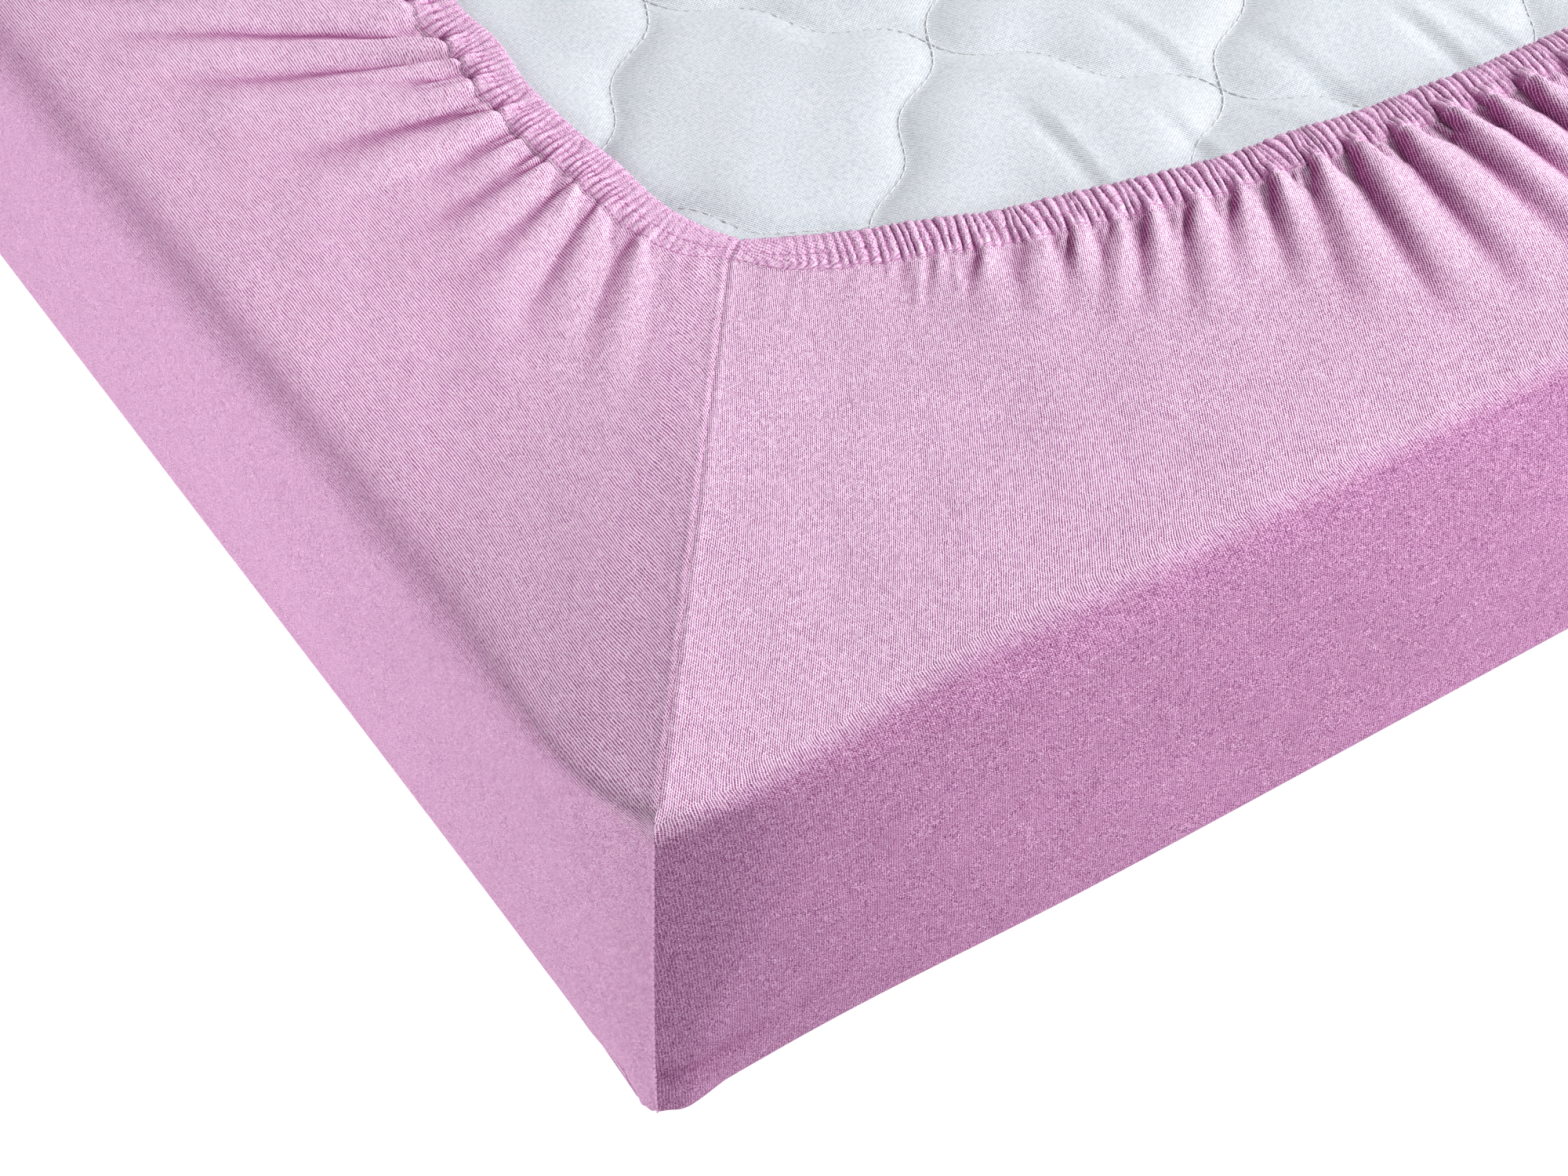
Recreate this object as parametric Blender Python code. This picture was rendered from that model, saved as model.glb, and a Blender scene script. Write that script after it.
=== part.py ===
# A fitted sheet of knitted jersey, drawn over a child's mattress that lies upside down.
# The sheet covers the side on the floor and the four walls, turns in over the rim and
# ends in a gathered hem, inside which the quilted cover of the mattress shows.
# Metres, +Z up. The origin is on the floor, under the middle. X runs along the long sides.

from collections import namedtuple
from math import ceil, cos, exp, floor, pi, radians, sin

import bmesh
import bpy

# Outside sizes of the covered mattress
LENGTH = 1.200
WIDTH = 0.600
THICKNESS = 0.120  # floor to the flat part of the return
WALL_BULGE = 0.003  # a wall's middle stands out past the rim by this much

# The cloth
CLOTH = 0.0014  # one layer of jersey
FLAT_GAP = 0.0004  # cloth to mattress where it lies against it
BOTTOM_ROUND = 0.012
RIM_ROUND = 0.010
POCKET_RADIUS = 0.017  # plan radius of the sewn corner at the floor, which stays square
RIM_RADIUS = 0.046  # plan radius of the corner at the rim, pulled in by the hem
CORNER_ARC = 0.050  # length along a side that each half corner takes up

# The gathered hem: a channel for the elastic and a small heading beside it
HEM_BAND = 0.0125
HEM_BAND_CORNER = 0.007  # its depth where it meets a corner seam
HEM_RISE = 0.0036  # top of the gathers above the flat return
HEM_EDGE_RISE = 0.0018

# The mattress
MATTRESS_ROUND = 0.018
MATTRESS_RADIUS = 0.050
QUILT_STEP = 0.1288  # from one crossing of the quilting lines to the next, along X or Y
QUILT_CROSSING = (-0.0253, -0.0037)  # the crossing nearest the middle
QUILT_DEPTH = 0.0022

JERSEY_COLOUR = (0.74, 0.36, 0.66, 1.0)
TICKING_COLOUR = (0.86, 0.88, 0.89, 1.0)

# A side runs from its first corner to its second, anticlockwise seen from above.
Side = namedtuple("Side", "corner along inward length")
SIDES = {
    "front": Side((-1, -1), (1, 0), (0, 1), LENGTH),
    "right": Side((1, -1), (0, 1), (-1, 0), WIDTH),
    "back": Side((1, 1), (-1, 0), (0, -1), LENGTH),
    "left": Side((-1, 1), (0, -1), (1, 0), WIDTH),
}
NEXT_SIDE = {"front": "right", "right": "back", "back": "left", "left": "front"}

# Where the hem turns each side's first corner: its distance from that corner, along X and Y
HemCorner = namedtuple("HemCorner", "x y")
HEM_CORNERS = {
    "front": HemCorner(0.150, 0.188),
    "right": HemCorner(0.156, 0.181),
    "back": HemCorner(0.147, 0.186),
    "left": HemCorner(0.157, 0.179),
}
HEM_MIDDLES = {"front": 0.113, "right": 0.136, "back": 0.109, "left": 0.138}  # depth from the edge

# The main folds of the return. hem: where the fold leaves the hem, along the side.
# rim: where on the rim it points. reach: how much of the way it runs.
Fold = namedtuple("Fold", "hem rim reach height width")
FOLDS = {
    "front": (
        Fold(0.196, 0.098, 0.25, 0.0012, 0.011),
        Fold(0.231, 0.145, 0.25, 0.0015, 0.012),
        Fold(0.257, 0.176, 0.25, 0.0014, 0.011),
        Fold(0.281, 0.203, 0.35, 0.0024, 0.012),
        Fold(0.305, 0.250, 0.45, 0.0032, 0.014),
        Fold(0.323, 0.285, 0.45, 0.0030, 0.012),
        Fold(0.340, 0.309, 0.65, 0.0040, 0.014),
        Fold(0.357, 0.338, 0.85, 0.0048, 0.015),
        Fold(0.376, 0.376, 0.75, 0.0042, 0.016),
        Fold(0.402, 0.404, 0.60, 0.0036, 0.018),
        Fold(0.431, 0.437, 0.80, 0.0046, 0.017),
        Fold(0.469, 0.470, 0.55, 0.0034, 0.018),
        Fold(0.498, 0.506, 0.85, 0.0048, 0.017),
        Fold(0.540, 0.537, 0.65, 0.0038, 0.019),
        Fold(0.572, 0.577, 0.80, 0.0044, 0.016),
        Fold(0.612, 0.608, 0.50, 0.0032, 0.018),
        Fold(0.643, 0.650, 0.85, 0.0050, 0.018),
        Fold(0.684, 0.681, 0.70, 0.0040, 0.017),
        Fold(0.712, 0.719, 0.55, 0.0034, 0.015),
        Fold(0.749, 0.756, 0.80, 0.0046, 0.018),
        Fold(0.790, 0.803, 0.60, 0.0036, 0.018),
        Fold(0.822, 0.841, 0.75, 0.0040, 0.016),
        Fold(0.853, 0.884, 0.50, 0.0030, 0.015),
        Fold(0.884, 0.926, 0.60, 0.0034, 0.016),
        Fold(0.921, 0.979, 0.40, 0.0024, 0.014),
        Fold(0.957, 1.032, 0.30, 0.0018, 0.013),
        Fold(0.996, 1.090, 0.25, 0.0014, 0.012),
    ),
    "right": (
        Fold(0.204, 0.074, 0.40, 0.0020, 0.010),
        Fold(0.226, 0.130, 0.55, 0.0028, 0.012),
        Fold(0.249, 0.190, 0.70, 0.0036, 0.013),
        Fold(0.272, 0.236, 0.60, 0.0032, 0.012),
        Fold(0.293, 0.288, 0.85, 0.0042, 0.014),
        Fold(0.317, 0.331, 0.65, 0.0034, 0.013),
        Fold(0.338, 0.392, 0.80, 0.0040, 0.013),
        Fold(0.361, 0.438, 0.50, 0.0026, 0.012),
        Fold(0.382, 0.503, 0.40, 0.0020, 0.010),
    ),
    "back": (
        Fold(0.197, 0.093, 0.30, 0.0014, 0.012),
        Fold(0.236, 0.151, 0.35, 0.0020, 0.013),
        Fold(0.269, 0.204, 0.50, 0.0028, 0.015),
        Fold(0.304, 0.262, 0.65, 0.0036, 0.016),
        Fold(0.333, 0.303, 0.80, 0.0044, 0.016),
        Fold(0.371, 0.362, 0.55, 0.0034, 0.018),
        Fold(0.402, 0.395, 0.85, 0.0048, 0.017),
        Fold(0.446, 0.449, 0.60, 0.0036, 0.018),
        Fold(0.478, 0.472, 0.75, 0.0042, 0.016),
        Fold(0.521, 0.527, 0.85, 0.0046, 0.018),
        Fold(0.559, 0.556, 0.55, 0.0032, 0.017),
        Fold(0.593, 0.602, 0.75, 0.0044, 0.018),
        Fold(0.637, 0.634, 0.85, 0.0048, 0.018),
        Fold(0.671, 0.680, 0.60, 0.0036, 0.016),
        Fold(0.716, 0.719, 0.80, 0.0044, 0.018),
        Fold(0.751, 0.764, 0.50, 0.0030, 0.017),
        Fold(0.789, 0.799, 0.75, 0.0042, 0.017),
        Fold(0.828, 0.851, 0.60, 0.0034, 0.016),
        Fold(0.861, 0.893, 0.55, 0.0030, 0.015),
        Fold(0.901, 0.951, 0.40, 0.0024, 0.014),
        Fold(0.943, 1.014, 0.35, 0.0018, 0.013),
        Fold(0.986, 1.083, 0.25, 0.0014, 0.012),
    ),
    "left": (
        Fold(0.203, 0.079, 0.35, 0.0018, 0.010),
        Fold(0.227, 0.133, 0.55, 0.0028, 0.012),
        Fold(0.248, 0.165, 0.70, 0.0034, 0.012),
        Fold(0.268, 0.190, 0.85, 0.0040, 0.013),
        Fold(0.287, 0.213, 0.55, 0.0030, 0.012),
        Fold(0.306, 0.262, 0.75, 0.0034, 0.012),
        Fold(0.323, 0.319, 0.45, 0.0026, 0.012),
        Fold(0.343, 0.369, 0.45, 0.0022, 0.012),
        Fold(0.359, 0.431, 0.60, 0.0026, 0.011),
        Fold(0.373, 0.478, 0.45, 0.0022, 0.010),
        Fold(0.389, 0.524, 0.40, 0.0020, 0.009),
    ),
}

# Shares of the way from the rim to the hem band at which the return has a row of points
OUTER_RETURN_ROWS = (0.12, 0.30, 0.48, 0.64, 0.78, 0.90, 1.0)
INNER_RETURN_ROWS = (1.0, 0.84, 0.60, 0.30)
# Shares of the hem band's depth, and of its rise: stitches, channel, stitches, heading
HEM_BAND_ROWS = ((0.30, 0.95), (0.56, 0.72), (0.80, 1.0))

# Rows of a wall, up from the floor: share of its straight height
WALL_ROWS = (0.0, 0.2, 0.5, 0.8, 1.0)
WALL_STEP = 0.080  # most a wall's column may be wide
CORNER_COLUMNS = 4  # columns in half a corner


def smooth(share):
    share = min(max(share, 0.0), 1.0)
    return share * share * (3.0 - 2.0 * share)


def place(side, along, inward, z):
    """The world point at these distances from a side's first corner."""
    frame = SIDES[side]
    x = frame.corner[0] * LENGTH / 2 + frame.along[0] * along + frame.inward[0] * inward
    y = frame.corner[1] * WIDTH / 2 + frame.along[1] * along + frame.inward[1] * inward
    return x, y, z


def outline(side, along, inset, radius):
    """Distances (along, inward) on a rounded rectangle, drawn in by inset.

    along is where the point would be on the square outline. The first and the last
    CORNER_ARC of each side bend round half a corner."""
    length = SIDES[side].length
    from_end = along > length / 2
    near = length - along if from_end else along
    if near < CORNER_ARC:
        turn = radians(45) * (1 - near / CORNER_ARC)
        near = inset + radius - radius * sin(turn)
        inward = inset + radius - radius * cos(turn)
    else:
        straight = length / 2 - CORNER_ARC
        share = (near - CORNER_ARC) / straight
        near = inset + radius + share * (length / 2 - inset - radius)
        inward = inset
    return (length - near if from_end else near), inward


def hem_corner(side, at_end):
    """Where the hem turns a corner, along the side and in from it."""
    corner = HEM_CORNERS[NEXT_SIDE[side] if at_end else side]
    runs_x = SIDES[side].along[0] != 0
    return (corner.x, corner.y) if runs_x else (corner.y, corner.x)


def hem_point(side, along, band):
    """A point of the hem (band 0), of the band's outer stitches (band 1) or between them."""
    length = SIDES[side].length
    at_end = along > length / 2
    near = length - along if at_end else along
    corner_along, corner_depth = hem_corner(side, at_end)
    away = min((length / 2 - near) / (length / 2 - corner_along), 1.0)
    middle_depth = HEM_MIDDLES[side]
    bend = 0.8 * away**2.3 + 0.2 * away**14
    depth = middle_depth + (corner_depth - middle_depth) * bend
    width = HEM_BAND + (HEM_BAND_CORNER - HEM_BAND) * away**14
    near -= band * HEM_BAND_CORNER * away**14
    return (length - near if at_end else near), depth - band * width


# One line of points from the rim to the hem. fold is None between the folds.
Column = namedtuple("Column", "rim hem fold")


def columns(side):
    """The columns of a side's return: corner arcs, fold crests and the valleys between."""
    length = SIDES[side].length
    first, last = hem_corner(side, False)[0], length - hem_corner(side, True)[0]
    folds = FOLDS[side]
    made = [Column(0.0, first, None)]

    def fill_corner(fold, seam_hem, at_end):
        near_rim = length - fold.rim if at_end else fold.rim
        rows = [CORNER_ARC * step / CORNER_COLUMNS for step in range(1, CORNER_COLUMNS + 1)]
        for near in reversed(rows) if at_end else rows:
            share = near / near_rim
            rim = length - near if at_end else near
            made.append(Column(rim, seam_hem + (fold.hem - seam_hem) * share, None))

    fill_corner(folds[0], first, False)
    for index, fold in enumerate(folds):
        foot = fold.width / 2
        before = folds[index - 1] if index else None
        if before is None or fold.hem - before.hem > 1.5 * (before.width + fold.width) / 2:
            made.append(Column(fold.rim - foot, fold.hem - foot, None))
        made.append(Column(fold.rim, fold.hem, fold))
        after = folds[index + 1] if index + 1 < len(folds) else None
        if after is None or after.hem - fold.hem > 1.5 * (after.width + fold.width) / 2:
            made.append(Column(fold.rim + foot, fold.hem + foot, None))
        else:
            made.append(Column((fold.rim + after.rim) / 2, (fold.hem + after.hem) / 2, None))
    fill_corner(folds[-1], last, True)
    return made


def fold_height(column, share):
    """How far a fold's crest stands up at a share of the way from the rim to the hem."""
    if column.fold is None:
        return 0.0
    along_fold = (share - (1 - column.fold.reach)) / column.fold.reach
    return column.fold.height * smooth(along_fold)


def return_point(side, column, share, lift):
    start_along, start_in = outline(side, column.rim, WALL_BULGE + RIM_ROUND, RIM_RADIUS)
    end_along, end_in = hem_point(side, column.hem, 1.0)
    along = start_along + (end_along - start_along) * share
    inward = start_in + (end_in - start_in) * share
    return place(side, along, inward, THICKNESS + fold_height(column, share) + lift)


def band_point(side, column, share, rise):
    """A point on top of the hem band, from its outer stitches (0) to the hem (1)."""
    along, inward = hem_point(side, column.hem, 1.0 - share)
    from_fold = 0.5 * fold_height(column, 1.0) * (1 - share)
    return place(side, along, inward, THICKNESS + max(rise, from_fold))


def coarse_columns(side):
    """The columns of a side's wall, as distances along it."""
    length = SIDES[side].length
    arc = [CORNER_ARC * step / CORNER_COLUMNS for step in range(CORNER_COLUMNS)]
    count = ceil((length - 2 * CORNER_ARC) / WALL_STEP)
    step = (length - 2 * CORNER_ARC) / count
    straight = [CORNER_ARC + step * index for index in range(count + 1)]
    return arc + straight + [length - near for near in reversed(arc[1:])]


def wall_inset(share):
    """How far a wall lies inside the overall size, with share 0 at the floor and 1 at the rim."""
    return WALL_BULGE * (2 * share - 1) ** 2


def corner_radius(z):
    """The plan radius of the sheet's corner: square at the floor, round at the rim."""
    return POCKET_RADIUS + (RIM_RADIUS - POCKET_RADIUS) * smooth(z / THICKNESS)


def wall_profile(rounding_low, rounding_high, shrink):
    """Rows (inset, z) from the floor face to the top face, drawn in by shrink."""
    low, high = shrink, THICKNESS - shrink
    rows = []
    for step in range(4):  # floor to wall
        turn = radians(30 * step)
        inset = wall_inset(0) + shrink + rounding_low * (1 - sin(turn))
        rows.append((inset, low + rounding_low * (1 - cos(turn))))
    for share in WALL_ROWS[1:-1]:
        z = low + rounding_low + share * (high - low - rounding_low - rounding_high)
        rows.append((wall_inset(share) + shrink, z))
    for step in range(4):  # wall to top
        turn = radians(30 * step)
        inset = wall_inset(1) + shrink + rounding_high * (1 - cos(turn))
        rows.append((inset, high - rounding_high * (1 - sin(turn))))
    return rows


class Rings:
    """Closed rings of points, joined into the faces of one mesh."""

    def __init__(self):
        self.mesh = bmesh.new()

    def ring(self, keyed_points):
        """keyed_points: (key, point) in order round the outline; a key grows from 0 to 4."""
        return [(key, self.mesh.verts.new(point)) for key, point in keyed_points]

    def join(self, one, other):
        """Faces between two rings: squares where their keys agree, else triangles."""
        same = len(one) == len(other) and all(a[0] == b[0] for a, b in zip(one, other))
        if same:
            for index in range(len(one)):
                after = (index + 1) % len(one)
                corners = (one[index], one[after], other[after], other[index])
                self.mesh.faces.new([corner[1] for corner in corners])
            return
        first = second = 0
        while first < len(one) or second < len(other):
            next_one = one[first + 1][0] if first + 1 < len(one) else 4.0 + one[0][0]
            next_other = other[second + 1][0] if second + 1 < len(other) else 4.0 + other[0][0]
            here = one[first % len(one)][1]
            there = other[second % len(other)][1]
            if second >= len(other) or (first < len(one) and next_one <= next_other):
                first += 1
                self.mesh.faces.new((here, one[first % len(one)][1], there))
            else:
                second += 1
                self.mesh.faces.new((here, other[second % len(other)][1], there))

    def cap(self, ring):
        self.mesh.faces.new([vertex for _, vertex in ring])

    def object(self, name, material):
        bmesh.ops.recalc_face_normals(self.mesh, faces=self.mesh.faces)
        data = bpy.data.meshes.new(name)
        self.mesh.to_mesh(data)
        self.mesh.free()
        data.materials.append(material)
        data.shade_smooth()
        data.set_sharp_from_angle(angle=radians(50))
        made = bpy.data.objects.new(name, data)
        bpy.context.scene.collection.objects.link(made)
        return made


def wall_ring(rings, inset, z, radius):
    points = []
    for number, side in enumerate(SIDES):
        for along in coarse_columns(side):
            key = number + along / SIDES[side].length
            points.append((key, place(side, *outline(side, along, inset, radius), z)))
    return rings.ring(points)


def return_ring(rings, point_of):
    points = []
    for number, side in enumerate(SIDES):
        for column in columns(side):
            key = number + column.rim / SIDES[side].length
            points.append((key, point_of(side, column)))
    return rings.ring(points)


def make_sheet(material):
    rings = Rings()
    outer = []
    for inset, z in wall_profile(BOTTOM_ROUND, RIM_ROUND, 0.0):
        outer.append(wall_ring(rings, inset, z, corner_radius(z)))
    rings.cap(outer[0])
    for share in OUTER_RETURN_ROWS:
        outer.append(return_ring(rings, lambda side, column, s=share: return_point(side, column, s, 0)))
    for share, rise in HEM_BAND_ROWS:
        outer.append(
            return_ring(
                rings,
                lambda side, column, s=share, r=rise: band_point(side, column, s, r * HEM_RISE),
            )
        )
    outer.append(return_ring(rings, lambda side, column: band_point(side, column, 1, HEM_EDGE_RISE)))

    inner = [return_ring(rings, lambda side, column: place(
        side, *hem_point(side, column.hem, 0.0), THICKNESS - CLOTH))]
    for share in INNER_RETURN_ROWS:
        inner.append(
            return_ring(rings, lambda side, column, s=share: return_point(side, column, s, -CLOTH))
        )
    for inset, z in reversed(wall_profile(BOTTOM_ROUND - CLOTH, RIM_ROUND - CLOTH, CLOTH)):
        inner.append(wall_ring(rings, inset, z, corner_radius(z) - CLOTH))
    rings.cap(inner[-1])

    shell = outer + inner
    for one, other in zip(shell, shell[1:]):
        rings.join(one, other)
    return rings.object("fitted_sheet", material)


def quilt_dip(column, row):
    """Depth of the quilting at a point of the grid: lines run along both diagonals."""
    on_line = (column + row) % 4 == 0 or (column - row) % 4 == 0
    return QUILT_DEPTH if on_line else 0.0


def make_mattress(material):
    rings = Rings()
    shrink = CLOTH + FLAT_GAP
    profile = wall_profile(MATTRESS_ROUND, MATTRESS_ROUND, shrink)
    walls = [wall_ring(rings, inset, z, MATTRESS_RADIUS) for inset, z in profile]
    rings.cap(walls[0])
    for one, other in zip(walls, walls[1:]):
        rings.join(one, other)

    # The top is a grid that the quilting lines cross corner to corner.
    step = QUILT_STEP / 4
    top = THICKNESS - shrink
    margin = WALL_BULGE + shrink + MATTRESS_ROUND + step / 4
    low_column = ceil((-LENGTH / 2 + margin - QUILT_CROSSING[0]) / step)
    high_column = floor((LENGTH / 2 - margin - QUILT_CROSSING[0]) / step)
    low_row = ceil((-WIDTH / 2 + margin - QUILT_CROSSING[1]) / step)
    high_row = floor((WIDTH / 2 - margin - QUILT_CROSSING[1]) / step)
    grid = {}
    for column in range(low_column, high_column + 1):
        for row in range(low_row, high_row + 1):
            x = QUILT_CROSSING[0] + step * column
            y = QUILT_CROSSING[1] + step * row
            grid[column, row] = rings.mesh.verts.new((x, y, top - quilt_dip(column, row)))
    for column in range(low_column, high_column):
        for row in range(low_row, high_row):
            near, far = grid[column, row], grid[column + 1, row + 1]
            right, left = grid[column + 1, row], grid[column, row + 1]
            if (column - row) % 4 == 0 or (column + row) % 4 == 2:
                rings.mesh.faces.new((near, right, far))
                rings.mesh.faces.new((near, far, left))
            else:
                rings.mesh.faces.new((near, right, left))
                rings.mesh.faces.new((right, far, left))

    def edge(number, pairs):
        count = len(pairs) - 1
        return [(number + index / count, grid[pair]) for index, pair in enumerate(pairs[:-1])]

    across = list(range(low_column, high_column + 1))
    up = list(range(low_row, high_row + 1))
    border = edge(0, [(column, low_row) for column in across])
    border += edge(1, [(high_column, row) for row in up])
    border += edge(2, [(column, high_row) for column in reversed(across)])
    border += edge(3, [(low_column, row) for row in reversed(up)])
    rings.join(walls[-1], border)
    return rings.object("mattress", material)


def cloth_material(name, colour, roughness):
    material = bpy.data.materials.new(name)
    material.use_nodes = True
    shader = material.node_tree.nodes["Principled BSDF"]
    shader.inputs["Base Color"].default_value = colour
    shader.inputs["Roughness"].default_value = roughness
    shader.inputs["Metallic"].default_value = 0.0
    return material


def main():
    for old in list(bpy.data.objects):
        bpy.data.objects.remove(old, do_unlink=True)
    make_sheet(cloth_material("jersey", JERSEY_COLOUR, 0.9))
    make_mattress(cloth_material("ticking", TICKING_COLOUR, 0.85))


main()
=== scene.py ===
import math

import bpy
import numpy as np
from mathutils import Matrix, Vector


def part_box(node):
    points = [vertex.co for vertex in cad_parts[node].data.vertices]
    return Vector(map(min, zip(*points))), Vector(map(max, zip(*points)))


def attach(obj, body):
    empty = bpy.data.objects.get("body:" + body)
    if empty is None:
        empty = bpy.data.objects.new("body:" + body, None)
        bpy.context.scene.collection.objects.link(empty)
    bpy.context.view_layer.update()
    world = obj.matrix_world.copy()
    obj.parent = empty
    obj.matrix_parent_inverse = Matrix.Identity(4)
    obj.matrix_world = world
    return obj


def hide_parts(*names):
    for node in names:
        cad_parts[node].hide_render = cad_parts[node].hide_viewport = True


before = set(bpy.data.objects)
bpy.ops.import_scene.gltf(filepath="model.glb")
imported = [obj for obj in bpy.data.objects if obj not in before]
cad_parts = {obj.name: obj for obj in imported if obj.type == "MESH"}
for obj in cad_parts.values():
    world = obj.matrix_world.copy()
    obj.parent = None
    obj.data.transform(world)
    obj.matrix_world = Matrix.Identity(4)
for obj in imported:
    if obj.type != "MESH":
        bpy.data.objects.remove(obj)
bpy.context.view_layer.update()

sheetLow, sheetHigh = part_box("fitted_sheet")
mattressLow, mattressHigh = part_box("mattress")

sideX = sheetHigh[0] - sheetLow[0]    # long side of the covered mattress
sideY = sheetHigh[1] - sheetLow[1]    # short side
clothAndGap = mattressLow[2]          # one layer of jersey and the air under it
topZ = mattressHigh[2] + clothAndGap  # outer face of the return, where it lies flat


# small helpers

def smooth(share):
    share = np.clip(share, 0.0, 1.0)
    return share * share * (3.0 - 2.0 * share)


def bell(x):
    return np.exp(-x * x)


def ripple(seed, size, *places):
    # soft unevenness, about 1 high, in bumps of about this size
    rng = np.random.default_rng(seed)
    total = 0.0
    for _ in range(9):
        turn = rng.normal(size=len(places))
        turn *= 2 * math.pi / (size * rng.uniform(0.7, 1.8)) / np.linalg.norm(turn)
        total = total + np.sin(sum(t * p for t, p in zip(turn, places)) + rng.uniform(0, 7))
    return total / 3.0


def meshFrom(name, points, faces, uvs=None, paintedFoldShades=None):
    mesh = bpy.data.meshes.new(name)
    mesh.from_pydata(points.tolist(), [], faces)
    if uvs is not None:
        layer = mesh.uv_layers.new(name="cloth")
        corners = np.empty(len(mesh.loops), dtype=np.int32)
        mesh.loops.foreach_get("vertex_index", corners)
        layer.data.foreach_set("uv", uvs[corners].astype(np.float32).ravel())
    # the painted fold shade, kept as a point attribute
    if paintedFoldShades is not None:
        mesh.attributes.new("paintedFoldShade", "FLOAT", "POINT").data.foreach_set("value", paintedFoldShades.astype(np.float32))
    mesh.shade_smooth()
    return mesh


def addObject(name, data):
    thing = bpy.data.objects.new(name, data)
    bpy.context.scene.collection.objects.link(thing)
    return thing


def link(name, mesh, material):
    mesh.materials.append(material)
    return addObject(name, mesh)


# the camera stands at the near corner, well back, with a long lens

camera = {
    "place": (-0.9621, -0.9808, 1.1312),
    "yaw": 31.23,      # degrees from +Y towards +X
    "down": 49.19,
    "roll": -2.09,
    "lens": 108.0,
    "sensor": 36.0,
}


def makeCamera():
    data = bpy.data.cameras.new("camera")
    data.lens, data.sensor_width = camera["lens"], camera["sensor"]
    data.clip_start, data.clip_end = 0.05, 50.0
    eye = addObject("camera", data)
    yaw, down, roll = (math.radians(camera[key]) for key in ("yaw", "down", "roll"))
    eye.matrix_world = (
        Matrix.Translation(camera["place"])
        @ Matrix.Rotation(-yaw, 4, "Z")
        @ Matrix.Rotation(math.pi / 2 - down, 4, "X")
        @ Matrix.Rotation(roll, 4, "Z")
    )
    bpy.context.scene.camera = eye


# materials

def nodeIn(tree, kind, inputs=None, **settings):
    node = tree.nodes.new(kind)
    for key, value in settings.items():
        setattr(node, key, value)
    for key, value in (inputs or {}).items():
        if isinstance(value, bpy.types.NodeSocket):
            tree.links.new(value, node.inputs[key])
        else:
            node.inputs[key].default_value = value
    return node


def calc(tree, operation, first, second=0.0, third=0.0):
    return nodeIn(tree, "ShaderNodeMath", {0: first, 1: second, 2: third}, operation=operation).outputs[0]


def vector(tree, x=0.0, y=0.0, z=0.0):
    return nodeIn(tree, "ShaderNodeCombineXYZ", {0: x, 1: y, 2: z}).outputs[0]


def noise(tree, place, scale, detail, roughness=0.5):
    return nodeIn(tree, "ShaderNodeTexNoise", {
        "Vector": place, "Scale": scale, "Detail": detail, "Roughness": roughness}).outputs["Fac"]


def ranged(tree, value, fromLow=0.0, fromHigh=1.0, low=0.0, high=1.0, **settings):
    return nodeIn(tree, "ShaderNodeMapRange", {
        "Value": value, "From Min": fromLow, "From Max": fromHigh, "To Min": low, "To Max": high,
    }, **settings).outputs[0]


def colourFrom(tree, shader, share, first, second, blend="MIX"):
    # 6, 7 and 2 are the colour sockets of a Mix node
    mix = nodeIn(tree, "ShaderNodeMix", {"Factor": share, 6: first, 7: second},
                 data_type="RGBA", blend_type=blend)
    tree.links.new(mix.outputs[2], shader.inputs["Base Color"])


def bumpFrom(tree, shader, height, depth):
    bumps = nodeIn(tree, "ShaderNodeBump", {"Strength": 0.8, "Distance": depth, "Height": height})
    tree.links.new(bumps.outputs["Normal"], shader.inputs["Normal"])


def newMaterial(name, **values):
    material = bpy.data.materials.new(name)
    material.use_nodes = True
    shader = material.node_tree.nodes["Principled BSDF"]
    for key, value in values.items():
        shader.inputs[key].default_value = value
    return material, material.node_tree, shader


jersey = {
    "colour": (0.740, 0.370, 0.640, 1.0),
    "shadeColour": (0.220, 0.045, 0.170, 1.0),   # between the stitches
    "paleColour": (1.000, 0.830, 0.960, 1.0),    # fibres that catch the light
    "wale": 0.00084,      # one column of stitches
    "course": 0.00080,    # one row of stitches
    "knitDepth": 0.00008,
    "fleck": 0.00029,     # size of the unevenness of the yarn
    "slub": 0.0045,
    "paintedShadeTint": (0.840, 0.640, 0.750, 1.0),    # painted shade: multiplied over the cloth's colour on a fold's far flank and bottom
    "paintedShadeFall": 0.50,   # painted shade: how much less of the pale fibres shows there
    "turn": (0.116, 0.125),   # down the cloth, where the side's look passes into the return's
}
# how the knit shows on the side, on the return and on the gathered hem: how strong the columns
# are, their two legs, the slants of the stitches, single stitches and flecks, and the level;
# level and tone are partly the cloth's own colour and partly painted light and shade: the darker,
# deeper wall of the long sides is painted shade, the lighter wall of the short sides painted light,
# and the two returns differ by painted light as well; the seam value is painted shade towards the
# corner seams, over seamReach, and painted light where it is below 0; profile is the coordinate
# that runs down the cloth
jerseyLooks = {
    "jerseyAcross": {
        "profile": 1, "length": sideX, "seamReach": 0.14,
        "columns": (0.12, 0.60, 0.20), "legs": (0.08, 0.22, 0.12), "slants": (0.10, 0.26, 0.20),
        "backSlants": (0.06, 0.08, 0.10), "stitches": (0.16, 0.34, 0.30), "flecks": (1.60, 1.30, 1.00),
        "level": (0.29, 0.63, 0.57), "tone": (0.84, 0.96, 0.97), "paintedSeamShade": (0.15, -0.10, 0.0)},
    "jerseyAlong": {
        "profile": 0, "length": sideY, "seamReach": 0.24,
        "columns": (0.16, 0.52, 0.20), "legs": (0.16, 0.32, 0.14), "slants": (0.10, 0.26, 0.14),
        "backSlants": (0.05, 0.08, 0.10), "stitches": (0.10, 0.30, 0.30), "flecks": (1.40, 1.30, 1.00),
        "level": (0.47, 0.58, 0.57), "tone": (1.10, 1.08, 1.00), "paintedSeamShade": (0.15, 0.32, 0.10)},
}


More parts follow.
